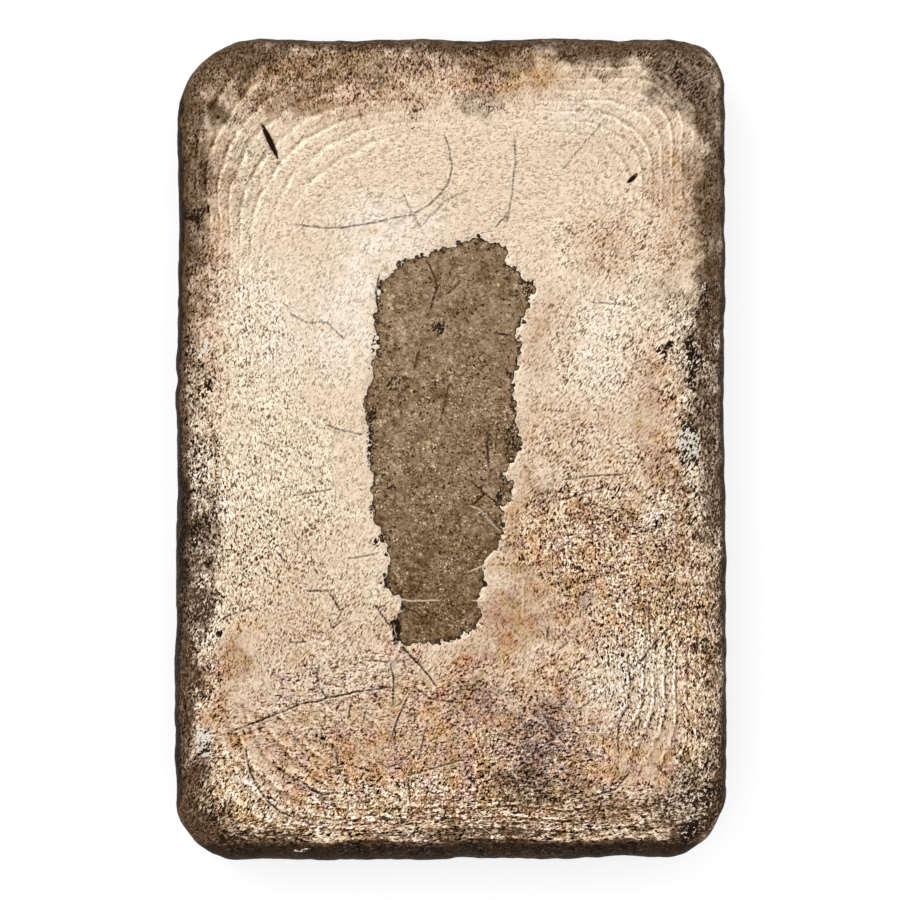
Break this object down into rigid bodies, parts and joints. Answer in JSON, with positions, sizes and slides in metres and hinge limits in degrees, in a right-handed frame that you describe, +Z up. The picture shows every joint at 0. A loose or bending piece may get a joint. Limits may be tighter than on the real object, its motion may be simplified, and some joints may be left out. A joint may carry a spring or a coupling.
{
  "type": "metal ingot",
  "caption": "Hand-poured metal ingot: a flat bar with rounded corners, drafted sides and a toned free face with cooling rings and a sunken ragged pool.",
  "frame": {"origin": "centre of the flat face that lay on the mould floor, under the middle of the bar", "axes": "+Y along the bar's length, +X across it, +Z up out of the mould, towards the free face"},
  "size_m": [0.0509, 0.0759, 0.0082],
  "materials": {
    "cast_silver": "satin"
  },
  "bodies": {
    "root": {"ingot": "cast_silver"}
  },
  "joints": []
}
